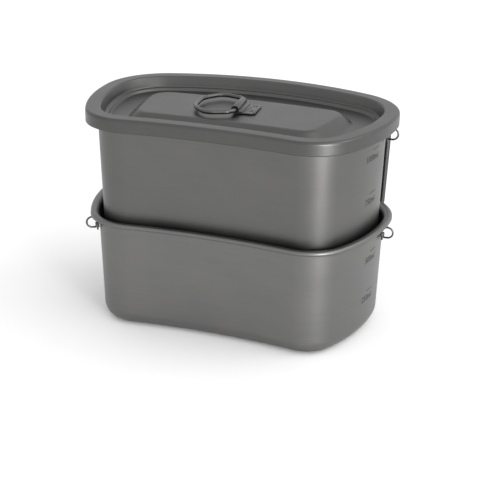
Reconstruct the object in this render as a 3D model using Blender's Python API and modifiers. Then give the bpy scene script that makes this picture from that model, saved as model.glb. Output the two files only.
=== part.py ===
"""Kidney-shaped cooking pot set: two nesting pots, a lid and their fittings.

Frame: origin at the centre of the lower pot's base, +Z up, +X along the long
side, the hollow front wall faces -Y.  All dimensions are metres.
"""
import math

import bmesh
import bpy
from mathutils import Matrix, Vector

NAME = "kidney_cook_set"

# ---------------------------------------------------------------- dimensions
SHEET = 0.0005                 # titanium sheet of the pots and the lid
GAP = 0.0003                   # play between pieces that would touch

# Plan outline of the lid skirt, front middle to rear middle: radius, turn, cuts
FRONT_Y = -0.0425
OUTLINE = (
    (-0.347, -7.0, 3),         # hollow front
    (0.0249, 7.0, 1),          # front corner, up to the foremost point
    (0.0249, 62.5, 6),         # front corner
    (0.0933, 27.5, 4),         # end, up to the widest point
    (0.0933, 1.9, 1),          # end
    (0.0350, 67.2, 6),         # rear corner
)
REAR_CUTS = 3                  # the rear bow closes the outline

# Raised middle of the lid
PLATEAU_Y = -0.0200
PLATEAU = (
    (-0.550, -4.0, 3),
    (0.0070, 4.0, 1),
    (0.0070, 78.0, 6),
    (0.2800, 4.0, 4),
    (0.2800, 1.0, 1),
    (0.0090, 92.0, 6),
)

# Lid heights
LID_TOP = 0.1114
LID_SKIRT = 0.00655
LID_EDGE_R = 0.0009
LID_RIM_INSET = 0.0070
LID_WELL_INSET = 0.0103
LID_FLOOR = 0.1044
LID_PLATEAU = 0.1090
PLATEAU_SLOPE = 0.0055

# Upper pot
UP_RIM_Z = 0.1106
UP_RIM_INSET = 0.0011
UP_WALL_INSET = 0.0060
UP_TAPER = 0.0294
UP_BASE_Z = 0.0008
UP_BOTTOM_R = 0.0085

# Lower pot
LOW_RIM_Z = 0.0576
LOW_RIM_INSET = 0.00076
LOW_WALL_INSET = 0.00505
LOW_TAPER = 0.0310
LOW_BASE_Z = 0.0
LOW_BOTTOM_R = 0.0078

# Rolled rim shared by both pots
LIP_DEPTH = 0.0020
LIP_R = 0.0010
FLARE_R = 0.0028

# Wire rings and their ears
RING_WIRE_R = 0.000475
RING_R = 0.00273
STEM_OUT = 0.0011             # stem axis, outward from the pot wall
EAR_SHEET = 0.00042
EAR_ARCH_R = 0.00099           # centre line of the arch round the stem
EAR_FOOT = 0.0029              # half length of the ear along the wall
EAR_TALL = 0.0016
EAR_DROP = 0.0012              # ear centre below ring centre
TAIL_DROP = 0.0042
END_HEADING = 92.0             # outline heading of the upper rings
LOW_END_HEADING = 90.0         # and of the lower right ring
CORNER_HEADING = 59.0          # outline heading of the lower left ring
UP_RING_Z = 0.1014
LOW_RING_Z = 0.0510
CORNER_RING_Z = 0.0518
RING_BUTT = 0.00015            # the ring's end stops this far from its stem

# Folding handles behind the upper pot
KNUCKLE_X = 0.0110
KNUCKLE_Y = 0.0577
KNUCKLE_R = 0.0030
KNUCKLE_BORE = 0.0018
BRACKET_LOW = 0.0750
BRACKET_TALL = 0.0190
BRACKET_HALF = 0.0135
BRACKET_PLATE = 0.0014
ARM_HALF = 0.0011
HANDLE_WIRE_R = 0.0015
HANDLE_TOP = 0.0970
HANDLE_LOW = 0.0510
HANDLE_OFFSET = 0.0013         # wire centre line outside the lid outline
HANDLE_FIRST = 172.0           # outline headings the wings run between
HANDLE_LAST = 128.0
HANDLE_REACH = 0.0602          # wing length along its plan line, at the top
HANDLE_LEAN = 0.0031           # the wing's outer leg leans in at the bottom
HANDLE_CORNER = 0.0060
HANDLE_BEND = 0.0022
STUB_IN = 0.0060               # how far a wire end reaches into its knuckle

# Lid ring and strap
LIFT_X = 0.0006
LIFT_Y = 0.0008
LIFT_YAW = 6.0                # degrees, ring points towards -X
BAR_Z = 0.11125
LOOP_OUT = 0.00195
LOOP_IN = 0.00145
STRAP_HALF = 0.0083
STRAP_SHEET = 0.0005
TAB_LONG = 0.0098
TAB_CHAMFER = 0.0016
LAP_END = 0.0036
LIFT_WIRE_R = 0.0011
BAR_HALF = 0.0104
SHOULDER = (0.0025, 0.0132)    # corners of the ring: reach from the bar, half width
FLANK = (0.0125, 0.0170)
TIP = (0.0208, 0.0080)


# ------------------------------------------------------------------- helpers
def clear_scene():
    for ob in list(bpy.data.objects):
        bpy.data.objects.remove(ob, do_unlink=True)


def collection(name, hidden=False):
    coll = bpy.data.collections.new(name)
    bpy.context.scene.collection.children.link(coll)
    coll.hide_render = hidden
    return coll


def material(name, color, metallic, roughness):
    mat = bpy.data.materials.new(name)
    mat.use_nodes = True
    bsdf = mat.node_tree.nodes["Principled BSDF"]
    bsdf.inputs["Base Color"].default_value = (*color, 1.0)
    bsdf.inputs["Metallic"].default_value = metallic
    bsdf.inputs["Roughness"].default_value = roughness
    return mat


def half_outline(arcs, front_y, inset):
    """Points from the front middle to the rear middle, both included."""
    x, y, heading = 0.0, front_y, 0.0
    points = []
    chain = [(r, math.radians(t), n) for r, t, n in arcs]
    for radius, turn, cuts in chain:
        cx = x - radius * math.sin(heading)
        cy = y + radius * math.cos(heading)
        for i in range(cuts):
            h = heading + turn * i / cuts
            px = cx + (radius - inset) * math.sin(h)
            py = cy - (radius - inset) * math.cos(h)
            points.append((px, py))
        heading += turn
        x = cx + radius * math.sin(heading)
        y = cy - radius * math.cos(heading)
    radius = x / math.sin(heading)
    cy = y + radius * math.cos(heading)
    for i in range(REAR_CUTS + 1):
        h = heading + (math.pi - heading) * i / REAR_CUTS
        px = (radius - inset) * math.sin(h)
        py = cy - (radius - inset) * math.cos(h)
        points.append((px, py))
    points[-1] = (0.0, points[-1][1])
    return points


def outline(arcs, front_y, inset):
    """Closed loop, anticlockwise from above."""
    half = half_outline(arcs, front_y, inset)
    return half + [(-x, y) for x, y in reversed(half[1:-1])]


def spot(inset, heading_deg):
    """Point of the skirt outline with the given heading, and its normal."""
    target = math.radians(heading_deg)
    x, y, heading = 0.0, FRONT_Y, 0.0
    for radius, turn_deg, _ in OUTLINE:
        turn = math.radians(turn_deg)
        cx = x - radius * math.sin(heading)
        cy = y + radius * math.cos(heading)
        if turn > 0.0 and heading <= target <= heading + turn:
            break
        heading += turn
        x = cx + radius * math.sin(heading)
        y = cy - radius * math.cos(heading)
    else:
        radius = x / math.sin(heading)
        cx = 0.0
        cy = y + radius * math.cos(heading)
    normal = Vector((math.sin(target), -math.cos(target), 0.0))
    point = Vector((cx, cy, 0.0)) + (radius - inset) * normal
    return point, normal


def rounded(center_in, center_z, radius, start_deg, end_deg, cuts):
    """Profile arc as (inset, z); 0 deg points inwards, 90 deg points up."""
    steps = []
    for i in range(cuts + 1):
        a = math.radians(start_deg + (end_deg - start_deg) * i / cuts)
        steps.append((center_in + radius * math.cos(a), center_z + radius * math.sin(a)))
    return steps


def rings_of(profile, arcs=OUTLINE, front_y=FRONT_Y):
    return [[(x, y, z) for x, y in outline(arcs, front_y, d)] for d, z in profile]


def shell(name, rings, mat, coll):
    """Loft the rings, cap the last one and thicken the sheet to both sides."""
    bm = bmesh.new()
    loops = [[bm.verts.new(p) for p in ring] for ring in rings]
    for low, high in zip(loops, loops[1:]):
        count = len(low)
        for i in range(count):
            j = (i + 1) % count
            bm.faces.new((low[i], low[j], high[j], high[i]))
    bm.faces.new(loops[-1])
    bmesh.ops.recalc_face_normals(bm, faces=bm.faces)
    mesh = bpy.data.meshes.new(name)
    bm.to_mesh(mesh)
    bm.free()
    ob = bpy.data.objects.new(name, mesh)
    coll.objects.link(ob)
    thick = ob.modifiers.new("sheet", "SOLIDIFY")
    thick.thickness = SHEET
    thick.offset = 0.0
    thick.use_even_offset = True
    mesh.materials.append(mat)
    smooth(ob)
    return ob


def smooth(ob):
    for poly in ob.data.polygons:
        poly.use_smooth = True


def mesh_of(ob, coll, mat, name):
    """Replace a curve or modified object by its plain mesh, placed in the world."""
    bpy.context.view_layer.update()
    deps = bpy.context.evaluated_depsgraph_get()
    mesh = bpy.data.meshes.new_from_object(ob.evaluated_get(deps))
    mesh.transform(ob.matrix_world)
    bpy.data.objects.remove(ob, do_unlink=True)
    bm = bmesh.new()
    bm.from_mesh(mesh)
    bmesh.ops.remove_doubles(bm, verts=bm.verts, dist=0.000001)
    bmesh.ops.recalc_face_normals(bm, faces=bm.faces)
    bm.to_mesh(mesh)
    bm.free()
    mesh.materials.clear()
    mesh.materials.append(mat)
    mesh.name = name
    new = bpy.data.objects.new(name, mesh)
    coll.objects.link(new)
    return new


def set_origin(ob, point):
    ob.data.transform(Matrix.Translation(-Vector(point)))
    ob.location = point


def wire(name, points, radius, closed, mat, coll, sides=2):
    curve = bpy.data.curves.new(name, "CURVE")
    curve.dimensions = "3D"
    curve.bevel_depth = radius
    curve.bevel_resolution = sides
    curve.use_fill_caps = not closed
    spline = curve.splines.new("POLY")
    spline.points.add(len(points) - 1)
    for p, co in zip(spline.points, points):
        p.co = (*co, 1.0)
    spline.use_cyclic_u = closed
    ob = bpy.data.objects.new(name + "_path", curve)
    coll.objects.link(ob)
    new = mesh_of(ob, coll, mat, name)
    smooth(new)
    return new


def plate(name, loops, tall, matrix, mat, coll):
    """Flat outline with holes, extruded; local XY plan, local Z is the height."""
    curve = bpy.data.curves.new(name, "CURVE")
    curve.dimensions = "2D"
    curve.fill_mode = "BOTH"
    curve.extrude = tall / 2.0
    for loop in loops:
        spline = curve.splines.new("POLY")
        spline.points.add(len(loop) - 1)
        for p, (x, y) in zip(spline.points, loop):
            p.co = (x, y, 0.0, 1.0)
        spline.use_cyclic_u = True
    ob = bpy.data.objects.new(name + "_plan", curve)
    coll.objects.link(ob)
    ob.matrix_world = matrix
    return mesh_of(ob, coll, mat, name)


def arc_points(cx, cy, radius, start_deg, end_deg, cuts):
    pts = []
    for i in range(cuts + 1):
        a = math.radians(start_deg + (end_deg - start_deg) * i / cuts)
        pts.append((cx + radius * math.cos(a), cy + radius * math.sin(a)))
    return pts


def fillet(points, radii, closed, cuts):
    """Round the corners of a 3-D polyline with arcs of the given radii."""
    out = []
    count = len(points)
    for i, corner in enumerate(points):
        corner = Vector(corner)
        if not closed and i in (0, count - 1):
            out.append(corner)
            continue
        before = (Vector(points[i - 1]) - corner).normalized()
        after = (Vector(points[(i + 1) % count]) - corner).normalized()
        half = before.angle(after) / 2.0
        if radii[i] <= 0.0:
            out.append(corner)
            continue
        reach = radii[i] / math.tan(half)
        center = corner + (before + after).normalized() * radii[i] / math.sin(half)
        start = corner + before * reach - center
        end = corner + after * reach - center
        sweep = start.angle(end)
        for k in range(cuts + 1):
            t = k / cuts
            a = math.sin((1.0 - t) * sweep) / math.sin(sweep)
            b = math.sin(t * sweep) / math.sin(sweep)
            out.append(center + start * a + end * b)
    return out


# ---------------------------------------------------------------------- pots
def wall_inset(level, z):
    """How far in from the outline a pot's outer wall face stands at a height."""
    if level == "lower":
        rim_z, wall_in, taper = LOW_RIM_Z, LOW_WALL_INSET, LOW_TAPER
        foot_z = LOW_BASE_Z + LOW_BOTTOM_R
    else:
        rim_z, wall_in, taper = UP_RIM_Z, UP_WALL_INSET, UP_TAPER
        foot_z = UP_BASE_Z + UP_BOTTOM_R
    flare_z = rim_z - SHEET / 2.0 - FLARE_R
    return wall_in + taper * (rim_z - foot_z) * (flare_z - z) / (flare_z - foot_z)


def pot(name, rim_z, rim_in, wall_in, taper, base_z, bottom_r, mat, coll):
    """Rolled rim, flared shoulder, tapered wall and rounded bottom."""
    mid = SHEET / 2.0
    top = rim_z - mid
    lip = rim_in + mid
    wall = wall_in + mid
    profile = [(lip, rim_z - LIP_DEPTH)]
    profile += rounded(lip + LIP_R, top - LIP_R, LIP_R, 180.0, 90.0, 2)
    profile += rounded(wall - FLARE_R, top - FLARE_R, FLARE_R, 90.0, 0.0, 3)
    low_r = bottom_r - mid
    foot_z = base_z + mid + low_r
    foot = wall + taper * (rim_z - foot_z)
    profile += rounded(foot + low_r, foot_z, low_r, 180.0, 270.0, 4)
    return shell(name, rings_of(profile), mat, coll)


# ----------------------------------------------------------------------- lid
def lid(mat, coll):
    """Skirted rim, sunk channel and raised middle, pressed from one sheet."""
    mid = SHEET / 2.0
    top = LID_TOP - mid
    floor = LID_FLOOR - mid
    high = LID_PLATEAU - mid
    skirt_z = LID_TOP - LID_SKIRT
    profile = [(mid, skirt_z)]
    profile += rounded(mid + LID_EDGE_R, top - LID_EDGE_R, LID_EDGE_R, 180.0, 90.0, 2)
    slope = math.degrees(math.atan2(top - floor, LID_WELL_INSET - LID_RIM_INSET))
    profile += rounded(LID_RIM_INSET - 0.0004, top - 0.0010, 0.0010, 90.0, 90.0 - slope, 2)
    bend = 0.0022
    profile += rounded(LID_WELL_INSET + 0.0010, floor + bend, bend, 270.0 - slope, 270.0, 3)
    rings = rings_of(profile)
    foot = PLATEAU_SLOPE
    rise = math.degrees(math.atan2(high - floor, foot))
    raised = [(-foot - 0.0006, floor), (-foot + 0.0008, floor + 0.0006)]
    raised += [(-0.0008, high - 0.0006), (0.0006, high)]
    rings += rings_of(raised, PLATEAU, PLATEAU_Y)
    return shell("lid", rings, mat, coll)


# ------------------------------------------------------------- ears and rings
def wall_frame(inset, heading, side, z):
    """Local X outward from the wall, local Y along it, local Z up."""
    point, normal = spot(inset, heading)
    if side < 0:
        point.x = -point.x
        normal.x = -normal.x
    along = Vector((-normal.y, normal.x, 0.0))
    rot = Matrix((normal, along, (0.0, 0.0, 1.0))).transposed().to_4x4()
    return Matrix.Translation((point.x, point.y, z)) @ rot


def ear(name, frame, mat, coll):
    """Strap with two feet and an arch round the ring's stem."""
    half = EAR_SHEET / 2.0
    foot_out = GAP + EAR_SHEET
    outer = EAR_ARCH_R + half
    inner = EAR_ARCH_R - half
    loop = [(GAP, -EAR_FOOT), (foot_out, -EAR_FOOT), (foot_out, -outer)]
    loop += arc_points(STEM_OUT, 0.0, outer, -90.0, 90.0, 8)
    loop += [(foot_out, outer), (foot_out, EAR_FOOT), (GAP, EAR_FOOT), (GAP, inner)]
    loop += arc_points(STEM_OUT, 0.0, inner, 90.0, -90.0, 8)
    loop += [(GAP, -inner)]
    place = frame @ Matrix.Translation((0.0, 0.0, -EAR_DROP))
    return plate(name, [loop], EAR_TALL, place, mat, coll)


def ring(name, frame, mat, coll):
    """Round wire ring with a stem through the ear; its end closes in below the ear."""
    center = STEM_OUT + RING_R
    path = [(STEM_OUT, 0.0, -TAIL_DROP), (STEM_OUT, 0.0, -TAIL_DROP / 2.0)]
    for i in range(16):
        a = math.radians(180.0 - 270.0 * i / 15)
        path.append((center + RING_R * math.cos(a), 0.0, RING_R * math.sin(a)))
    path.append((STEM_OUT + RING_WIRE_R + RING_BUTT, 0.0, -RING_R))
    ob = wire(name, [frame @ Vector(p) for p in path], RING_WIRE_R, False, mat, coll)
    axis_point = frame @ Vector((STEM_OUT, 0.0, 0.0))
    set_origin(ob, axis_point)
    return ob


# ------------------------------------------------------------------- handles
def bracket(mat, coll):
    """Base plate against the rear wall with two arms ending in knuckles."""
    top_z = BRACKET_LOW + BRACKET_TALL
    inset = wall_inset("upper", top_z) - GAP
    rear, _ = spot(inset, 180.0)
    bow, _ = spot(inset, 175.0)
    radius = (bow.x ** 2 + (rear.y - bow.y) ** 2) / (2.0 * (rear.y - bow.y))
    cuts = 8
    front = []
    for i in range(cuts + 1):
        x = -BRACKET_HALF + 2.0 * BRACKET_HALF * i / cuts
        front.append((x, rear.y - x * x / (2.0 * radius)))
    back = rear.y + BRACKET_PLATE
    lean = math.degrees(math.acos(ARM_HALF / KNUCKLE_R))
    loop = front + [(BRACKET_HALF, back), (KNUCKLE_X + ARM_HALF, back)]
    loop += arc_points(KNUCKLE_X, KNUCKLE_Y, KNUCKLE_R, -lean, 180.0 + lean, 16)
    loop += [(KNUCKLE_X - ARM_HALF, back), (-KNUCKLE_X + ARM_HALF, back)]
    loop += arc_points(-KNUCKLE_X, KNUCKLE_Y, KNUCKLE_R, -lean, 180.0 + lean, 16)
    loop += [(-KNUCKLE_X - ARM_HALF, back), (-BRACKET_HALF, back)]
    holes = []
    for side in (-1.0, 1.0):
        holes.append(arc_points(side * KNUCKLE_X, KNUCKLE_Y, KNUCKLE_BORE, 0.0, 337.5, 15))
    place = Matrix.Translation((0.0, 0.0, BRACKET_LOW + BRACKET_TALL / 2.0))
    return plate("handle_bracket", [loop] + holes, BRACKET_TALL, place, mat, coll)


def wing_plan():
    """Plan line of a wing, from its hinge axis along the rear wall."""
    points = [Vector((KNUCKLE_X, KNUCKLE_Y, 0.0))]
    cuts = 9
    for i in range(cuts + 1):
        heading = HANDLE_FIRST + (HANDLE_LAST - HANDLE_FIRST) * i / cuts
        point, _ = spot(-HANDLE_OFFSET, heading)
        points.append(point)
    return points


def follow(plan, runs, reach):
    """Point of the plan line at a given length from the hinge axis."""
    for i in range(len(runs) - 1):
        if reach <= runs[i + 1]:
            break
    t = (reach - runs[i]) / (runs[i + 1] - runs[i])
    return plan[i].lerp(plan[i + 1], t)


def handle(name, side, mat, coll):
    """Wire loop folded round the rear wall, both ends turned into the knuckle."""
    plan = wing_plan()
    runs = [0.0]
    for start, end in zip(plan, plan[1:]):
        runs.append(runs[-1] + (end - start).length)
    top_end = BRACKET_LOW + BRACKET_TALL - STUB_IN
    low_end = BRACKET_LOW + STUB_IN
    corners = [(0.0, 0.0, top_end), (0.0, 0.0, HANDLE_TOP)]
    corners += [(HANDLE_REACH, 0.0, HANDLE_TOP)]
    corners += [(HANDLE_REACH - HANDLE_LEAN, 0.0, HANDLE_LOW)]
    corners += [(0.0, 0.0, HANDLE_LOW), (0.0, 0.0, low_end)]
    radii = [0.0, HANDLE_BEND, HANDLE_CORNER, HANDLE_CORNER, HANDLE_BEND, 0.0]
    flat = fillet(corners, radii, False, 4)
    dense = []
    for start, end in zip(flat, flat[1:]):
        dense.append(start)
        low, high = sorted((start.x, end.x))
        inner = [s for s in runs if low + 0.002 < s < high - 0.002]
        if end.x < start.x:
            inner.reverse()
        for s in inner:
            dense.append(start.lerp(end, (s - start.x) / (end.x - start.x)))
    dense.append(flat[-1])
    path = []
    for p in dense:
        at = follow(plan, runs, p.x)
        path.append(Vector((side * at.x, at.y, p.z)))
    ob = wire(name, path, HANDLE_WIRE_R, False, mat, coll)
    set_origin(ob, (side * KNUCKLE_X, KNUCKLE_Y, HANDLE_TOP))
    return ob


# ---------------------------------------------------------- lid ring and strap
def lift_frame():
    """Local X points from the bar over the tab, local Y along the bar."""
    turn = Matrix.Rotation(math.radians(LIFT_YAW), 4, "Z")
    return Matrix.Translation((LIFT_X, LIFT_Y, BAR_Z)) @ turn


def strap(frame, mat, coll, cut_coll):
    """Folded strap: loop round the ring's bar, lap and spot-welded tab."""
    under = -LOOP_OUT
    tab_top = under + STRAP_SHEET
    lap_top = tab_top + STRAP_SHEET
    meet = math.degrees(math.asin((lap_top + 0.00035) / LOOP_OUT))
    loop = [(TAB_LONG, under), (TAB_LONG, tab_top), (LAP_END, tab_top), (LAP_END, lap_top)]
    loop += [(LAP_END - 0.0011, lap_top)]
    loop += arc_points(0.0, 0.0, LOOP_OUT, meet, 270.0, 16)
    hole = arc_points(0.0, 0.0, LOOP_IN, 0.0, 345.0, 23)
    upright = Matrix.Rotation(math.radians(90.0), 4, "X")
    body = plate("lid_strap", [loop, hole], 2.0 * STRAP_HALF, frame @ upright, mat, coll)
    far = LOOP_OUT + 0.001
    wide = STRAP_HALF + 0.001
    tip = TAB_LONG + 0.001
    blunt = wide - TAB_CHAMFER - 0.002
    plan = [(-far, -wide), (tip - TAB_CHAMFER - 0.002, -wide), (tip, -blunt)]
    plan += [(tip, blunt), (tip - TAB_CHAMFER - 0.002, wide), (-far, wide)]
    cutter = plate("strap_plan", [plan], 0.010, frame, mat, cut_coll)
    boolean(body, cutter, "INTERSECT")
    for side in (-1.0, 1.0):
        place = frame @ Matrix.Translation((0.0072, side * 0.0045, tab_top + 0.0009))
        disc = arc_points(0.0, 0.0, 0.0011, 0.0, 330.0, 11)
        dimple = plate("weld_cut", [disc], 0.0021, place, mat, cut_coll)
        boolean(body, dimple, "DIFFERENCE")
    return body


def boolean(body, cutter, operation):
    cutter.display_type = "WIRE"
    cutter.hide_render = True
    cut = body.modifiers.new(operation.lower(), "BOOLEAN")
    cut.operation = operation
    cut.solver = "EXACT"
    cut.object = cutter


def lift_ring(frame, mat, coll):
    """Closed wire: straight bar, flaring shoulders and a broad rounded tip."""
    side = [(0.0, BAR_HALF), SHOULDER, FLANK, TIP]
    bends = [0.0016, 0.0030, 0.0060, 0.0120]
    corners = [(-u, -v, 0.0) for u, v in side] + [(-u, v, 0.0) for u, v in reversed(side)]
    path = fillet(corners, bends + bends[::-1], True, 4)
    path = [frame @ p for p in path]
    ob = wire("lid_ring", path, LIFT_WIRE_R, True, mat, coll, 3)
    set_origin(ob, (LIFT_X, LIFT_Y, BAR_Z))
    return ob


# --------------------------------------------------------------------- build
def build():
    clear_scene()
    coll = collection(NAME)
    cuts = collection("cutters", True)
    grey = (0.19, 0.189, 0.186)
    dark = (0.15, 0.15, 0.145)

    def metal(name, tone, rough):
        return material(name, tone, 1.0, rough)

    pot("lower_pot", LOW_RIM_Z, LOW_RIM_INSET, LOW_WALL_INSET, LOW_TAPER,
        LOW_BASE_Z, LOW_BOTTOM_R, metal("lower_pot_titanium", grey, 0.42), coll)
    pot("upper_pot", UP_RIM_Z, UP_RIM_INSET, UP_WALL_INSET, UP_TAPER,
        UP_BASE_Z, UP_BOTTOM_R, metal("upper_pot_titanium", grey, 0.42), coll)
    lid(metal("lid_titanium", grey, 0.38), coll)

    spots = (
        ("lower", "left", CORNER_HEADING, -1, CORNER_RING_Z),
        ("lower", "right", LOW_END_HEADING, 1, LOW_RING_Z),
        ("upper", "left", END_HEADING, -1, UP_RING_Z),
        ("upper", "right", END_HEADING, 1, UP_RING_Z),
    )
    for level, hand, heading, side, z in spots:
        frame = wall_frame(wall_inset(level, z), heading, side, z)
        ear_name = level + "_ear_" + hand
        ring_name = level + "_ring_" + hand
        ear(ear_name, frame, metal(ear_name + "_metal", dark, 0.45), coll)
        ring(ring_name, frame, metal(ring_name + "_wire", dark, 0.40), coll)

    bracket(metal("bracket_metal", dark, 0.45), coll)
    handle("handle_left", -1.0, metal("handle_left_wire", dark, 0.40), coll)
    handle("handle_right", 1.0, metal("handle_right_wire", dark, 0.40), coll)

    frame = lift_frame()
    strap(frame, metal("strap_metal", grey, 0.40), coll, cuts)
    lift_ring(frame, metal("lid_ring_wire", grey, 0.35), coll)


build()
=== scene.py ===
import math

import bmesh
import bpy
from mathutils import Matrix, Vector


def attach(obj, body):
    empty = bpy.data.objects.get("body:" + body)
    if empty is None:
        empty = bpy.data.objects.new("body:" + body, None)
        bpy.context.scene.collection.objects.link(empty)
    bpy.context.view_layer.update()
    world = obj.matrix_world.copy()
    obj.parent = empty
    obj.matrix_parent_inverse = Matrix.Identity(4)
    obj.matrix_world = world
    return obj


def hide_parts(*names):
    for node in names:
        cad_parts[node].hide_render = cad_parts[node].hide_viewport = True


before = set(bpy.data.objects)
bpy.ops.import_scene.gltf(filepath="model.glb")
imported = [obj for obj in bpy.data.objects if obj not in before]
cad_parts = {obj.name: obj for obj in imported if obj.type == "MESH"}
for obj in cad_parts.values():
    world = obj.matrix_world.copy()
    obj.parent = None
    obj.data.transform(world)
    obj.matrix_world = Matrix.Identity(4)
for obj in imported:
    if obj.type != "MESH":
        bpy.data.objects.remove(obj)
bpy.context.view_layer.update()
scene = bpy.context.scene

# ------------------------------- dimensions, in metres, shared with the CAD
SHEET = 0.0005
GAP = 0.0003
FRONT_Y = -0.0425
OUTLINE = (
    (-0.347, -7.0, 10),
    (0.0249, 7.0, 3),
    (0.0249, 62.5, 22),
    (0.0933, 27.5, 12),
    (0.0933, 1.9, 1),
    (0.0350, 67.2, 22),
)
PLATEAU_Y = -0.0200
PLATEAU = (
    (-0.550, -4.0, 10),
    (0.0070, 4.0, 3),
    (0.0070, 78.0, 22),
    (0.2800, 4.0, 12),
    (0.2800, 1.0, 1),
    (0.0090, 92.0, 22),
)
REAR_CUTS = 14

LID_TOP = 0.1114
LID_SKIRT = 0.00655
LID_FLOOR = 0.1044
LID_PLATEAU = 0.1090
LID_EDGE_R = 0.0012
PLATEAU_SLOPE = 0.0055

WELL_LIP_IN = 0.0066
WELL_LIP_R = 0.0010
# (inset, depth below the rim's top) down the stepped wall of the lid's channel
WELL_STEPS = (
    (0.0085, 0.00325),
    (0.0088, 0.0040),
    (0.00895, 0.0047),
    (0.0092, 0.0052),
    (0.0096, 0.00545),
    (0.0101, 0.00552),
    (0.01055, 0.00565),
    (0.01085, 0.0060),
    (0.0111, 0.0065),
)

UP_RIM_Z = 0.1106
UP_RIM_INSET = 0.0011
UP_WALL_INSET = 0.0060
UP_TAPER = 0.0294
UP_BASE_Z = 0.0008
UP_BOTTOM_R = 0.0085

LOW_RIM_Z = 0.0576
LOW_RIM_INSET = 0.00076
LOW_WALL_INSET = 0.00505
LOW_TAPER = 0.0310
LOW_BASE_Z = 0.0
LOW_BOTTOM_R = 0.0078

LIP_DEPTH = 0.0020
LIP_R = 0.0010
FLARE_R = 0.0028

RING_WIRE_R = 0.000475
RING_R = 0.00273
STEM_OUT = 0.0011
EAR_SHEET = 0.00042
EAR_ARCH_R = 0.00099
EAR_FOOT = 0.0029
EAR_TALL = 0.0016
EAR_DROP = 0.0012
TAIL_DROP = 0.0042
END_HEADING = 92.0
LOW_END_HEADING = 90.0
CORNER_HEADING = 59.0
UP_RING_Z = 0.1014
LOW_RING_Z = 0.0510
CORNER_RING_Z = 0.0518
RING_BUTT = 0.00015

KNUCKLE_X = 0.0110
KNUCKLE_Y = 0.0577
KNUCKLE_R = 0.0030
KNUCKLE_BORE = 0.0018
BRACKET_LOW = 0.0750
BRACKET_TALL = 0.0190
BRACKET_HALF = 0.0135
BRACKET_PLATE = 0.0014
ARM_HALF = 0.0011
HANDLE_WIRE_R = 0.0015
HANDLE_TOP = 0.0970
HANDLE_LOW = 0.0510
HANDLE_OFFSET = 0.0013
HANDLE_FIRST = 172.0
HANDLE_LAST = 128.0
HANDLE_REACH = 0.0602
HANDLE_LEAN = 0.0031
HANDLE_CORNER = 0.0060
HANDLE_BEND = 0.0022
STUB_IN = 0.0060

LIFT_X = 0.0006
LIFT_Y = 0.0008
LIFT_YAW = 6.0
BAR_Z = 0.11125
LOOP_OUT = 0.00195
LOOP_IN = 0.00145
STRAP_HALF = 0.0083
STRAP_SHEET = 0.0005
TAB_LONG = 0.0098
TAB_CHAMFER = 0.0016
LAP_END = 0.0036
LIFT_WIRE_R = 0.0011
BAR_HALF = 0.0104
SHOULDER = (0.0025, 0.0132)
FLANK = (0.0125, 0.0170)
TIP = (0.0208, 0.0080)
LIFT_BENDS = [0.0016, 0.0030, 0.0060, 0.0120]

# Fine details that only the visual has
SLIM = 0.995                   # wires are this much thinner than the CAD's facets
EAR_EDGE = 0.00009
BRACKET_EDGE = 0.00018
STRAP_EDGE = 0.00010
WELD_X = 0.0072
WELD_Y = 0.0045
BRACKET_WELD_X = 0.0055
BRACKET_WELD_Z = 0.0058

# Volume graduations: mark lines and generic numbers on the right end walls
MARK_HEADING = 83.0
MARK_LIFT = 0.00003            # how far the marks stand off the wall
MARK_HALF = 0.0035
MARK_THIN = 0.0002             # half thickness of a mark line
TEXT_SIZE = 0.0046
TEXT_DROP = 0.0055
END_RADIUS = 0.0933            # outline radius where the marks are
GRADUATIONS = {
    "upper": (("1000ml", 0.0980), ("750ml", 0.0755)),
    "lower": (("500ml", 0.0455), ("250ml", 0.0240)),
}


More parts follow.
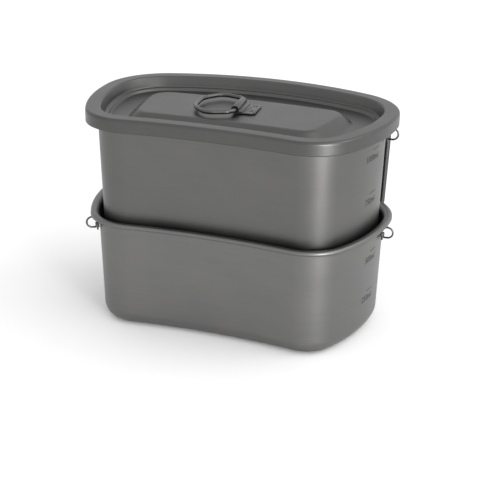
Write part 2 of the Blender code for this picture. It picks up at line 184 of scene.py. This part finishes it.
# ------------------------------------------------------------------ materials
def titanium(name, tone, rough, grain, streak, bump=0.10, warm=0.5):
    """Satin titanium: mottled tone, fine blasted grain and faint drawn streaks."""
    mat = bpy.data.materials.new(name)
    mat.use_nodes = True
    tree = mat.node_tree
    tree.nodes.clear()
    add = tree.nodes.new
    out = add("ShaderNodeOutputMaterial")
    bsdf = add("ShaderNodeBsdfPrincipled")
    bsdf.inputs["Metallic"].default_value = 1.0
    coords = add("ShaderNodeTexCoord")

    def noise(scale, stretch, detail, roughness=0.5):
        place = add("ShaderNodeMapping")
        place.inputs["Scale"].default_value = stretch
        tex = add("ShaderNodeTexNoise")
        tex.inputs["Scale"].default_value = scale
        tex.inputs["Detail"].default_value = detail
        tex.inputs["Roughness"].default_value = roughness
        tree.links.new(coords.outputs["Object"], place.inputs["Vector"])
        tree.links.new(place.outputs["Vector"], tex.inputs["Vector"])
        return tex.outputs["Fac"]

    def remap(value, low, high, to_low, to_high):
        node = add("ShaderNodeMapRange")
        node.inputs["From Min"].default_value = low
        node.inputs["From Max"].default_value = high
        node.inputs["To Min"].default_value = to_low
        node.inputs["To Max"].default_value = to_high
        tree.links.new(value, node.inputs["Value"])
        return node.outputs["Result"]

    def join(kind, a, b):
        node = add("ShaderNodeMath")
        node.operation = kind
        tree.links.new(a, node.inputs[0])
        tree.links.new(b, node.inputs[1])
        return node.outputs["Value"]

    cloud = noise(38.0, (1.0, 1.0, 1.6), 5.0, 0.55)
    blast = noise(grain, (1.0, 1.0, 1.0), 3.0, 0.6)
    drawn = noise(55.0, streak, 4.0, 0.65)
    ramp = add("ShaderNodeValToRGB")
    low, high = ramp.color_ramp.elements
    low.position = 0.30
    high.position = 0.72
    dark = tuple(c * 0.90 for c in tone)
    pale = (tone[0] * 1.09, tone[1] * (1.08 - 0.01 * warm), tone[2] * (1.08 - 0.05 * warm))
    low.color = (*dark, 1.0)
    high.color = (*pale, 1.0)
    mixed = join("ADD", remap(cloud, 0.0, 1.0, 0.0, 0.52), remap(drawn, 0.0, 1.0, 0.0, 0.36))
    mixed = join("ADD", mixed, remap(blast, 0.0, 1.0, 0.0, 0.12))
    tree.links.new(mixed, ramp.inputs["Fac"])
    tree.links.new(ramp.outputs["Color"], bsdf.inputs["Base Color"])
    worn = join("ADD", remap(cloud, 0.3, 0.7, rough - 0.035, rough + 0.035),
                remap(blast, 0.3, 0.7, -0.03, 0.03))
    tree.links.new(worn, bsdf.inputs["Roughness"])
    height = join("ADD", remap(blast, 0.0, 1.0, 0.0, 0.7), remap(drawn, 0.0, 1.0, 0.0, 0.3))
    relief = add("ShaderNodeBump")
    relief.inputs["Strength"].default_value = bump
    relief.inputs["Distance"].default_value = 0.00012
    tree.links.new(height, relief.inputs["Height"])
    tree.links.new(relief.outputs["Normal"], bsdf.inputs["Normal"])
    tree.links.new(bsdf.outputs["BSDF"], out.inputs["Surface"])
    return mat


def plain_floor():
    mat = bpy.data.materials.new("pale_floor")
    mat.use_nodes = True
    bsdf = mat.node_tree.nodes["Principled BSDF"]
    bsdf.inputs["Base Color"].default_value = (0.93, 0.93, 0.93, 1.0)
    bsdf.inputs["Roughness"].default_value = 0.9
    bsdf.inputs["Specular IOR Level"].default_value = 0.1
    return mat


# ------------------------------------------------------------------- geometry
def half_outline(arcs, front_y, inset):
    x, y, heading = 0.0, front_y, 0.0
    points = []
    for radius, turn_deg, cuts in arcs:
        turn = math.radians(turn_deg)
        cx = x - radius * math.sin(heading)
        cy = y + radius * math.cos(heading)
        for i in range(cuts):
            h = heading + turn * i / cuts
            px = cx + (radius - inset) * math.sin(h)
            py = cy - (radius - inset) * math.cos(h)
            points.append((px, py))
        heading += turn
        x = cx + radius * math.sin(heading)
        y = cy - radius * math.cos(heading)
    radius = x / math.sin(heading)
    cy = y + radius * math.cos(heading)
    for i in range(REAR_CUTS + 1):
        h = heading + (math.pi - heading) * i / REAR_CUTS
        points.append(((radius - inset) * math.sin(h), cy - (radius - inset) * math.cos(h)))
    points[-1] = (0.0, points[-1][1])
    return points


def outline(arcs, front_y, inset):
    half = half_outline(arcs, front_y, inset)
    return half + [(-x, y) for x, y in reversed(half[1:-1])]


def spot(inset, heading_deg):
    """Point of the skirt outline with the given heading, and its normal."""
    target = math.radians(heading_deg)
    x, y, heading = 0.0, FRONT_Y, 0.0
    for radius, turn_deg, _ in OUTLINE:
        turn = math.radians(turn_deg)
        cx = x - radius * math.sin(heading)
        cy = y + radius * math.cos(heading)
        if turn > 0.0 and heading <= target <= heading + turn:
            break
        heading += turn
        x = cx + radius * math.sin(heading)
        y = cy - radius * math.cos(heading)
    else:
        radius = x / math.sin(heading)
        cx = 0.0
        cy = y + radius * math.cos(heading)
    normal = Vector((math.sin(target), -math.cos(target), 0.0))
    return Vector((cx, cy, 0.0)) + (radius - inset) * normal, normal


def rounded(center_in, center_z, radius, start_deg, end_deg, cuts):
    steps = []
    for i in range(cuts + 1):
        a = math.radians(start_deg + (end_deg - start_deg) * i / cuts)
        steps.append((center_in + radius * math.cos(a), center_z + radius * math.sin(a)))
    return steps


def rings_of(profile, arcs=OUTLINE, front_y=FRONT_Y):
    return [[(x, y, z) for x, y in outline(arcs, front_y, d)] for d, z in profile]


def smooth(ob):
    for poly in ob.data.polygons:
        poly.use_smooth = True


def piece(ob, mat, body, slot, *nodes):
    ob.data.materials.clear()
    ob.data.materials.append(mat)
    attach(ob, body)
    if nodes:
        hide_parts(*nodes)
    return ob


def shell(name, rings):
    """Loft of the rings with a capped end, thickened to both sides."""
    bm = bmesh.new()
    loops = [[bm.verts.new(p) for p in ring] for ring in rings]
    for low, high in zip(loops, loops[1:]):
        count = len(low)
        for i in range(count):
            j = (i + 1) % count
            bm.faces.new((low[i], low[j], high[j], high[i]))
    bm.faces.new(loops[-1])
    bmesh.ops.recalc_face_normals(bm, faces=bm.faces)
    mesh = bpy.data.meshes.new(name)
    bm.to_mesh(mesh)
    bm.free()
    ob = bpy.data.objects.new(name, mesh)
    scene.collection.objects.link(ob)
    thick = ob.modifiers.new("sheet", "SOLIDIFY")
    thick.thickness = SHEET
    thick.offset = 0.0
    thick.use_even_offset = True
    smooth(ob)
    return ob


def mesh_of(ob, name):
    bpy.context.view_layer.update()
    deps = bpy.context.evaluated_depsgraph_get()
    mesh = bpy.data.meshes.new_from_object(ob.evaluated_get(deps))
    mesh.transform(ob.matrix_world)
    bpy.data.objects.remove(ob, do_unlink=True)
    bm = bmesh.new()
    bm.from_mesh(mesh)
    bmesh.ops.remove_doubles(bm, verts=bm.verts, dist=0.000001)
    bmesh.ops.recalc_face_normals(bm, faces=bm.faces)
    bm.to_mesh(mesh)
    bm.free()
    new = bpy.data.objects.new(name, mesh)
    scene.collection.objects.link(new)
    return new


def wire(name, points, radius, closed):
    curve = bpy.data.curves.new(name, "CURVE")
    curve.dimensions = "3D"
    curve.bevel_depth = radius
    curve.bevel_resolution = 6
    curve.use_fill_caps = not closed
    spline = curve.splines.new("POLY")
    spline.points.add(len(points) - 1)
    for p, co in zip(spline.points, points):
        p.co = (*co, 1.0)
    spline.use_cyclic_u = closed
    ob = bpy.data.objects.new(name + "_path", curve)
    scene.collection.objects.link(ob)
    new = mesh_of(ob, name)
    smooth(new)
    return new


def plate(name, loops, tall, matrix, edge=0.0):
    curve = bpy.data.curves.new(name, "CURVE")
    curve.dimensions = "2D"
    curve.fill_mode = "BOTH"
    curve.extrude = tall / 2.0
    for loop in loops:
        spline = curve.splines.new("POLY")
        spline.points.add(len(loop) - 1)
        for p, (x, y) in zip(spline.points, loop):
            p.co = (x, y, 0.0, 1.0)
        spline.use_cyclic_u = True
    ob = bpy.data.objects.new(name + "_plan", curve)
    scene.collection.objects.link(ob)
    ob.matrix_world = matrix
    new = mesh_of(ob, name)
    if edge > 0.0:
        soft = new.modifiers.new("edge", "BEVEL")
        soft.width = edge
        soft.segments = 2
        soft.limit_method = "ANGLE"
        soft.angle_limit = math.radians(35.0)
        soft.harden_normals = False
    return new


def arc_points(cx, cy, radius, start_deg, end_deg, cuts):
    pts = []
    for i in range(cuts + 1):
        a = math.radians(start_deg + (end_deg - start_deg) * i / cuts)
        pts.append((cx + radius * math.cos(a), cy + radius * math.sin(a)))
    return pts


def fillet(points, radii, closed, cuts):
    out = []
    count = len(points)
    for i, corner in enumerate(points):
        corner = Vector(corner)
        if radii[i] <= 0.0 or (not closed and i in (0, count - 1)):
            out.append(corner)
            continue
        before = (Vector(points[i - 1]) - corner).normalized()
        after = (Vector(points[(i + 1) % count]) - corner).normalized()
        half = before.angle(after) / 2.0
        reach = radii[i] / math.tan(half)
        center = corner + (before + after).normalized() * radii[i] / math.sin(half)
        start = corner + before * reach - center
        end = corner + after * reach - center
        sweep = start.angle(end)
        for k in range(cuts + 1):
            t = k / cuts
            a = math.sin((1.0 - t) * sweep) / math.sin(sweep)
            b = math.sin(t * sweep) / math.sin(sweep)
            out.append(center + start * a + end * b)
    return out


# ----------------------------------------------------------------------- pots
def pot(name, rim_z, rim_in, wall_in, taper, base_z, bottom_r):
    mid = SHEET / 2.0
    top = rim_z - mid
    lip = rim_in + mid
    wall = wall_in + mid
    profile = [(lip, rim_z - LIP_DEPTH)]
    profile += rounded(lip + LIP_R, top - LIP_R, LIP_R, 180.0, 90.0, 7)
    profile += rounded(wall - FLARE_R, top - FLARE_R, FLARE_R, 90.0, 0.0, 10)
    low_r = bottom_r - mid
    foot_z = base_z + mid + low_r
    foot = wall + taper * (rim_z - foot_z)
    start_in, start_z = profile[-1]
    for t in (0.04, 0.35, 0.65, 0.96):
        profile.append((start_in + (foot - start_in) * t, start_z + (foot_z - start_z) * t))
    profile += rounded(foot + low_r, foot_z, low_r, 180.0, 270.0, 14)
    profile.append((foot + low_r + 0.0006, foot_z - low_r))
    profile.append((foot + low_r + 0.0030, foot_z - low_r))
    return shell(name, rings_of(profile))


def wall_inset(level, z):
    """How far in from the outline a pot's outer wall face stands at a height."""
    if level == "lower":
        rim_z, wall_in, taper = LOW_RIM_Z, LOW_WALL_INSET, LOW_TAPER
        foot_z = LOW_BASE_Z + LOW_BOTTOM_R
    else:
        rim_z, wall_in, taper = UP_RIM_Z, UP_WALL_INSET, UP_TAPER
        foot_z = UP_BASE_Z + UP_BOTTOM_R
    flare_z = rim_z - SHEET / 2.0 - FLARE_R
    return wall_in + taper * (rim_z - foot_z) * (flare_z - z) / (flare_z - foot_z)


# ------------------------------------------------------------------------ lid
def lid(name):
    """Skirt, rounded rim, stepped channel and raised middle."""
    mid = SHEET / 2.0
    top = LID_TOP - mid
    floor = LID_FLOOR - mid
    high = LID_PLATEAU - mid
    skirt_z = LID_TOP - LID_SKIRT
    profile = [(mid, skirt_z), (mid, skirt_z + 0.0004), (mid, top - 0.0016)]
    profile += rounded(mid + LID_EDGE_R, top - LID_EDGE_R, LID_EDGE_R, 180.0, 90.0, 9)
    profile += [(0.0024, top), (0.0058, top), (0.0063, top)]
    profile += rounded(WELL_LIP_IN, top - WELL_LIP_R, WELL_LIP_R, 90.0, 24.0, 6)
    profile += [(inset, top - depth) for inset, depth in WELL_STEPS]
    profile += [(0.0115, floor + 0.00012), (0.0119, floor), (0.0126, floor), (0.0140, floor)]
    rings = rings_of(profile)
    foot = PLATEAU_SLOPE
    raised = [(-foot - 0.0016, floor), (-foot - 0.0008, floor), (-foot - 0.0002, floor + 0.00008)]
    raised += [(-foot + 0.0004, floor + 0.0004), (-foot + 0.0010, floor + 0.0009)]
    raised += [(-0.0012, high - 0.0010), (-0.0006, high - 0.00052), (0.0, high - 0.0002)]
    raised += [(0.0006, high - 0.00004), (0.0012, high), (0.0022, high), (0.0045, high)]
    rings += rings_of(raised, PLATEAU, PLATEAU_Y)
    return shell(name, rings)


# -------------------------------------------------------------- ears and rings
def wall_frame(inset, heading, side, z):
    point, normal = spot(inset, heading)
    if side < 0:
        point.x = -point.x
        normal.x = -normal.x
    along = Vector((-normal.y, normal.x, 0.0))
    rot = Matrix((normal, along, (0.0, 0.0, 1.0))).transposed().to_4x4()
    return Matrix.Translation((point.x, point.y, z)) @ rot


def ear(name, place):
    half = EAR_SHEET / 2.0
    foot_out = GAP + EAR_SHEET
    outer = EAR_ARCH_R + half
    inner = EAR_ARCH_R - half
    loop = [(GAP, -EAR_FOOT), (foot_out, -EAR_FOOT), (foot_out, -outer)]
    loop += arc_points(STEM_OUT, 0.0, outer, -90.0, 90.0, 24)
    loop += [(foot_out, outer), (foot_out, EAR_FOOT), (GAP, EAR_FOOT), (GAP, inner)]
    loop += arc_points(STEM_OUT, 0.0, inner, 90.0, -90.0, 24)
    loop += [(GAP, -inner)]
    matrix = place @ Matrix.Translation((0.0, 0.0, -EAR_DROP))
    return plate(name, [loop], EAR_TALL, matrix, EAR_EDGE)


def ring(name, place):
    center = STEM_OUT + RING_R
    path = [(STEM_OUT, 0.0, -TAIL_DROP), (STEM_OUT, 0.0, -TAIL_DROP / 2.0)]
    for i in range(52):
        a = math.radians(180.0 - 270.0 * i / 51)
        path.append((center + RING_R * math.cos(a), 0.0, RING_R * math.sin(a)))
    path.append((STEM_OUT + RING_WIRE_R + RING_BUTT, 0.0, -RING_R))
    return wire(name, [place @ Vector(p) for p in path], RING_WIRE_R * SLIM, False)


# --------------------------------------------------------------------- handles
def bracket(name):
    top_z = BRACKET_LOW + BRACKET_TALL
    inset = wall_inset("upper", top_z) - GAP
    rear, _ = spot(inset, 180.0)
    bow, _ = spot(inset, 175.0)
    radius = (bow.x ** 2 + (rear.y - bow.y) ** 2) / (2.0 * (rear.y - bow.y))
    front = []
    for i in range(21):
        x = -BRACKET_HALF + 2.0 * BRACKET_HALF * i / 20
        front.append((x, rear.y - x * x / (2.0 * radius)))
    back = rear.y + BRACKET_PLATE
    lean = math.degrees(math.acos(ARM_HALF / KNUCKLE_R))
    loop = front + [(BRACKET_HALF, back), (KNUCKLE_X + ARM_HALF, back)]
    loop += arc_points(KNUCKLE_X, KNUCKLE_Y, KNUCKLE_R, -lean, 180.0 + lean, 40)
    loop += [(KNUCKLE_X - ARM_HALF, back), (-KNUCKLE_X + ARM_HALF, back)]
    loop += arc_points(-KNUCKLE_X, KNUCKLE_Y, KNUCKLE_R, -lean, 180.0 + lean, 40)
    loop += [(-KNUCKLE_X - ARM_HALF, back), (-BRACKET_HALF, back)]
    holes = []
    for side in (-1.0, 1.0):
        holes.append(arc_points(side * KNUCKLE_X, KNUCKLE_Y, KNUCKLE_BORE, 0.0, 351.0, 39))
    matrix = Matrix.Translation((0.0, 0.0, BRACKET_LOW + BRACKET_TALL / 2.0))
    ob = plate(name, [loop] + holes, BRACKET_TALL, matrix, BRACKET_EDGE)
    facing = Matrix.Rotation(math.radians(90.0), 4, "X")
    for x in (-BRACKET_WELD_X, BRACKET_WELD_X):
        for dz in (-BRACKET_WELD_Z, BRACKET_WELD_Z):
            where = Matrix.Translation((x, back + 0.00095, matrix.translation.z + dz))
            spot_cut(ob, name, where @ facing, 0.0012, 0.0022)
    return ob


def bake_cut(body, tool, operation):
    """Apply a Boolean with everything already on the body, then drop the tool."""
    cut = body.modifiers.new("cut", "BOOLEAN")
    cut.operation = operation
    cut.solver = "EXACT"
    cut.object = tool
    bpy.context.view_layer.update()
    deps = bpy.context.evaluated_depsgraph_get()
    mesh = bpy.data.meshes.new_from_object(body.evaluated_get(deps))
    body.modifiers.clear()
    body.data = mesh
    bpy.data.objects.remove(tool, do_unlink=True)


def spot_cut(body, name, matrix, radius, depth):
    """A shallow spot-weld dimple, cut by a disc with a rounded lower edge."""
    disc = arc_points(0.0, 0.0, radius, 0.0, 345.0, 23)
    tool = plate(name + "_dimple", [disc], depth, matrix, radius * 0.12)
    bake_cut(body, tool, "DIFFERENCE")


def follow(plan, runs, reach):
    for i in range(len(runs) - 1):
        if reach <= runs[i + 1]:
            break
    t = (reach - runs[i]) / (runs[i + 1] - runs[i])
    return plan[i].lerp(plan[i + 1], t)


def handle(name, side):
    plan = [Vector((KNUCKLE_X, KNUCKLE_Y, 0.0))]
    for i in range(37):
        heading = HANDLE_FIRST + (HANDLE_LAST - HANDLE_FIRST) * i / 36
        plan.append(spot(-HANDLE_OFFSET, heading)[0])
    runs = [0.0]
    for start, end in zip(plan, plan[1:]):
        runs.append(runs[-1] + (end - start).length)
    top_end = BRACKET_LOW + BRACKET_TALL - STUB_IN
    low_end = BRACKET_LOW + STUB_IN
    corners = [(0.0, 0.0, top_end), (0.0, 0.0, HANDLE_TOP), (HANDLE_REACH, 0.0, HANDLE_TOP)]
    corners += [(HANDLE_REACH - HANDLE_LEAN, 0.0, HANDLE_LOW)]
    corners += [(0.0, 0.0, HANDLE_LOW), (0.0, 0.0, low_end)]
    radii = [0.0, HANDLE_BEND, HANDLE_CORNER, HANDLE_CORNER, HANDLE_BEND, 0.0]
    flat = fillet(corners, radii, False, 14)
    dense = []
    for start, end in zip(flat, flat[1:]):
        dense.append(start)
        low, high = sorted((start.x, end.x))
        inner = [s for s in runs if low + 0.0006 < s < high - 0.0006]
        if end.x < start.x:
            inner.reverse()
        for s in inner:
            dense.append(start.lerp(end, (s - start.x) / (end.x - start.x)))
    dense.append(flat[-1])
    path = []
    for p in dense:
        at = follow(plan, runs, p.x)
        path.append(Vector((side * at.x, at.y, p.z)))
    return wire(name, path, HANDLE_WIRE_R * SLIM, False)


# ----------------------------------------------------------- lid strap and ring
def lift_frame():
    turn = Matrix.Rotation(math.radians(LIFT_YAW), 4, "Z")
    return Matrix.Translation((LIFT_X, LIFT_Y, BAR_Z)) @ turn


def strap(name, place):
    under = -LOOP_OUT
    tab_top = under + STRAP_SHEET
    lap_top = tab_top + STRAP_SHEET
    meet = math.degrees(math.asin((lap_top + 0.00035) / LOOP_OUT))
    loop = [(TAB_LONG, under), (TAB_LONG, tab_top), (LAP_END, tab_top), (LAP_END, lap_top)]
    loop += [(LAP_END - 0.0011, lap_top)]
    loop += arc_points(0.0, 0.0, LOOP_OUT, meet, 270.0, 44)
    hole = arc_points(0.0, 0.0, LOOP_IN, 0.0, 352.5, 47)
    upright = Matrix.Rotation(math.radians(90.0), 4, "X")
    body = plate(name, [loop, hole], 2.0 * STRAP_HALF, place @ upright)
    far = LOOP_OUT + 0.001
    wide = STRAP_HALF + 0.001
    tip = TAB_LONG + 0.001
    blunt = wide - TAB_CHAMFER - 0.002
    plan = [(-far, -wide), (tip - TAB_CHAMFER - 0.002, -wide), (tip, -blunt)]
    plan += [(tip, blunt), (tip - TAB_CHAMFER - 0.002, wide), (-far, wide)]
    tool = plate(name + "_plan", [plan], 0.010, place)
    bake_cut(body, tool, "INTERSECT")
    for side in (-1.0, 1.0):
        where = place @ Matrix.Translation((WELD_X, side * WELD_Y, tab_top + 0.0009))
        spot_cut(body, name, where, 0.0011, 0.0021)
    soft = body.modifiers.new("edge", "BEVEL")
    soft.width = STRAP_EDGE
    soft.segments = 2
    soft.limit_method = "ANGLE"
    soft.angle_limit = math.radians(40.0)
    return body


def lift_ring(name, place):
    side = [(0.0, BAR_HALF), SHOULDER, FLANK, TIP]
    corners = [(-u, -v, 0.0) for u, v in side] + [(-u, v, 0.0) for u, v in reversed(side)]
    path = fillet(corners, LIFT_BENDS + LIFT_BENDS[::-1], True, 14)
    return wire(name, [place @ p for p in path], LIFT_WIRE_R * SLIM, True)


# ------------------------------------------------------------ volume graduations
def text_mesh(word):
    font = bpy.data.curves.new("mark_text", "FONT")
    font.body = word
    font.size = TEXT_SIZE
    font.resolution_u = 3
    font.align_x = "RIGHT"
    ob = bpy.data.objects.new("mark_text", font)
    scene.collection.objects.link(ob)
    bpy.context.view_layer.update()
    deps = bpy.context.evaluated_depsgraph_get()
    mesh = bpy.data.meshes.new_from_object(ob.evaluated_get(deps))
    bpy.data.objects.remove(ob, do_unlink=True)
    return mesh


def etched(name, level):
    """Thin marks laid on an end wall; u runs along the wall from the marks' middle."""
    bm = bmesh.new()

    def lay(u, height):
        inset = wall_inset(level, height) - MARK_LIFT
        heading = MARK_HEADING + math.degrees(u / (END_RADIUS - inset))
        point, _ = spot(inset, heading)
        return bm.verts.new((point.x, point.y, height))

    steps = 8
    for _, height in GRADUATIONS[level]:
        along = [-MARK_HALF + 2.0 * MARK_HALF * i / steps for i in range(steps + 1)]
        low = [lay(u, height - MARK_THIN) for u in along]
        high = [lay(u, height + MARK_THIN) for u in along]
        for i in range(steps):
            bm.faces.new((low[i], low[i + 1], high[i + 1], high[i]))
    for word, height in GRADUATIONS[level]:
        mesh = text_mesh(word)
        made = [lay(MARK_HALF + v.co.x, height - TEXT_DROP + v.co.y) for v in mesh.vertices]
        for poly in mesh.polygons:
            bm.faces.new([made[i] for i in poly.vertices])
    mesh = bpy.data.meshes.new(name)
    bm.to_mesh(mesh)
    bm.free()
    ob = bpy.data.objects.new(name, mesh)
    scene.collection.objects.link(ob)
    return ob


# ------------------------------------------------------------------- the object
# The lower pot's tone is painted lighter than the upper pot's, as painted light standing in for
# the light bounced onto its walls; it is the same titanium.
LOW_TONE_PAINTED_LIGHTER = (0.168, 0.1678, 0.167)
POT_TONE = (0.137, 0.1368, 0.136)
# The lid's tone is painted darker than the pots', as painted shade for the darker look of its
# top; it is the same titanium. This darker tone also colours the strap and the handle wires.
LID_TONE_PAINTED_DARKER = (0.102, 0.1018, 0.101)
WIRE_TONE = (0.110, 0.1095, 0.108)
mat_low_painted_lighter = titanium("titanium_lower_painted_lighter", LOW_TONE_PAINTED_LIGHTER, 0.42, 2600.0, (0.6, 0.6, 26.0))
mat_up = titanium("titanium_upper", POT_TONE, 0.42, 2600.0, (0.6, 0.6, 26.0))
mat_lid_painted_darker = titanium("titanium_lid_painted_darker", LID_TONE_PAINTED_DARKER, 0.40, 2600.0, (3.0, 3.0, 3.0), warm=0.2)
mat_strap = titanium("titanium_strap", LID_TONE_PAINTED_DARKER, 0.38, 3600.0, (4.0, 4.0, 4.0), warm=0.2)
mat_lift = titanium("titanium_lift_wire", WIRE_TONE, 0.34, 4200.0, (9.0, 9.0, 2.0), warm=0.2)
mat_ring = titanium("titanium_ring_wire", WIRE_TONE, 0.36, 4800.0, (9.0, 9.0, 2.0))
mat_ear = titanium("titanium_ear", WIRE_TONE, 0.42, 4200.0, (4.0, 4.0, 4.0))
mat_bracket = titanium("titanium_bracket", POT_TONE, 0.42, 3200.0, (0.6, 0.6, 26.0))
mat_handle = titanium("titanium_handle_wire", LID_TONE_PAINTED_DARKER, 0.36, 3600.0, (2.0, 2.0, 9.0))
mat_etch = titanium("etched_oxide", (0.060, 0.058, 0.055), 0.60, 5200.0, (6.0, 6.0, 6.0))

piece(pot("lower_pot_look", LOW_RIM_Z, LOW_RIM_INSET, LOW_WALL_INSET, LOW_TAPER,
          LOW_BASE_Z, LOW_BOTTOM_R), mat_low_painted_lighter, "lower_pot", "pot_sheet", "lower_pot")
piece(pot("upper_pot_look", UP_RIM_Z, UP_RIM_INSET, UP_WALL_INSET, UP_TAPER,
          UP_BASE_Z, UP_BOTTOM_R), mat_up, "upper_pot", "pot_sheet", "upper_pot")
piece(lid("lid_look"), mat_lid_painted_darker, "lid", "lid_sheet", "lid")

for level, hand, heading, side, z in (
    ("lower", "left", CORNER_HEADING, -1, CORNER_RING_Z),
    ("lower", "right", LOW_END_HEADING, 1, LOW_RING_Z),
    ("upper", "left", END_HEADING, -1, UP_RING_Z),
    ("upper", "right", END_HEADING, 1, UP_RING_Z),
):
    place = wall_frame(wall_inset(level, z), heading, side, z)
    ear_node = level + "_ear_" + hand
    ring_node = level + "_ring_" + hand
    piece(ear(ear_node + "_look", place), mat_ear, level + "_pot", "ear_sheet", ear_node)
    piece(ring(ring_node + "_look", place), mat_ring, ring_node, "ring_wire", ring_node)

piece(bracket("handle_bracket_look"), mat_bracket, "upper_pot", "bracket_sheet", "handle_bracket")
for hand, side in (("left", -1.0), ("right", 1.0)):
    node = "handle_" + hand
    piece(handle(node + "_look", side), mat_handle, node, "handle_wire", node)

lift = lift_frame()
piece(strap("lid_strap_look", lift), mat_strap, "lid", "strap_sheet", "lid_strap")
piece(lift_ring("lid_ring_look", lift), mat_lift, "lid_ring", "lid_ring_wire", "lid_ring")

piece(etched("upper_graduations", "upper"), mat_etch, "upper_pot", "pot_sheet")
piece(etched("lower_graduations", "lower"), mat_etch, "lower_pot", "pot_sheet")

# ------------------------------------------------------------------------ stage
floor_mesh = bpy.data.meshes.new("floor")
bm = bmesh.new()
bmesh.ops.create_grid(bm, x_segments=4, y_segments=4, size=4.0)
bm.to_mesh(floor_mesh)
bm.free()
floor = bpy.data.objects.new("floor", floor_mesh)
floor.location = (0.0, 0.0, -0.0001)
scene.collection.objects.link(floor)
floor_mesh.materials.append(plain_floor())

world = bpy.data.worlds.new("studio")
scene.world = world
world.use_nodes = True
sky = world.node_tree
sky.nodes["Background"].inputs["Color"].default_value = (1.0, 1.0, 1.0, 1.0)
coords = sky.nodes.new("ShaderNodeTexCoord")
split = sky.nodes.new("ShaderNodeSeparateXYZ")
sky.links.new(coords.outputs["Generated"], split.inputs["Vector"])


def sky_range(value, low, high, to_low, to_high):
    node = sky.nodes.new("ShaderNodeMapRange")
    node.inputs["From Min"].default_value = low
    node.inputs["From Max"].default_value = high
    node.inputs["To Min"].default_value = to_low
    node.inputs["To Max"].default_value = to_high
    sky.links.new(value, node.inputs["Value"])
    return node.outputs["Result"]


def sky_product(a, b):
    node = sky.nodes.new("ShaderNodeMath")
    node.operation = "MULTIPLY"
    sky.links.new(a, node.inputs[0])
    sky.links.new(b, node.inputs[1])
    return node.outputs["Value"]


across = sky_product(sky_range(split.outputs["X"], -0.9, 0.9, 0.86, 1.16),
                     sky_range(split.outputs["Y"], -0.9, 0.9, 0.95, 0.98))
upward = sky_range(split.outputs["Z"], 0.05, 0.95, 1.08, 1.03)
sky.links.new(sky_product(across, upward), sky.nodes["Background"].inputs["Strength"])


def toward_light(azimuth, elevation):
    a, e = math.radians(azimuth), math.radians(elevation)
    return Vector((math.cos(a) * math.cos(e), math.sin(a) * math.cos(e), math.sin(e)))


def softbox(name, azimuth, elevation, distance, width, height, power):
    light = bpy.data.lights.new(name, "AREA")
    light.shape = "RECTANGLE"
    light.size = width
    light.size_y = height
    light.energy = power
    ob = bpy.data.objects.new(name, light)
    scene.collection.objects.link(ob)
    toward = toward_light(azimuth, elevation)
    ob.location = Vector((0.0, 0.0, 0.05)) + toward * distance
    ob.rotation_euler = toward.to_track_quat("Z", "Y").to_euler()
    return ob


softbox("key_right", -42.0, 5.0, 0.9, 0.20, 0.28, 5.6)
softbox("right_high", 15.0, 42.0, 1.2, 0.6, 0.6, 2.0)

sun_data = bpy.data.lights.new("soft_sun", "SUN")
sun_data.energy = 0.4
sun_data.angle = math.radians(60.0)
sun = bpy.data.objects.new("soft_sun", sun_data)
scene.collection.objects.link(sun)
sun.rotation_euler = toward_light(-20.0, 48.0).to_track_quat("Z", "Y").to_euler()

scene.view_settings.view_transform = "Standard"
scene.view_settings.look = "None"

# ----------------------------------------------------------------------- camera
AZ = math.radians(19.71)
EL = math.radians(22.71)
ROLL = math.radians(0.84)
DISTANCE = 0.62793
AIM = Vector((0.00818, -0.00134, 0.0358))
cam_data = bpy.data.cameras.new("camera")
cam_data.sensor_width = 36.0
cam_data.lens = 88.04
cam_data.clip_start = 0.01
cam_data.clip_end = 20.0
cam = bpy.data.objects.new("camera", cam_data)
scene.collection.objects.link(cam)
forward = Vector((-math.sin(AZ) * math.cos(EL), math.cos(AZ) * math.cos(EL), -math.sin(EL)))
cam.location = AIM - forward * DISTANCE
turn = Matrix.Rotation(AZ, 4, "Z") @ Matrix.Rotation(math.pi / 2.0 - EL, 4, "X")
cam.rotation_euler = (turn @ Matrix.Rotation(ROLL, 4, "Z")).to_euler()
scene.camera = cam
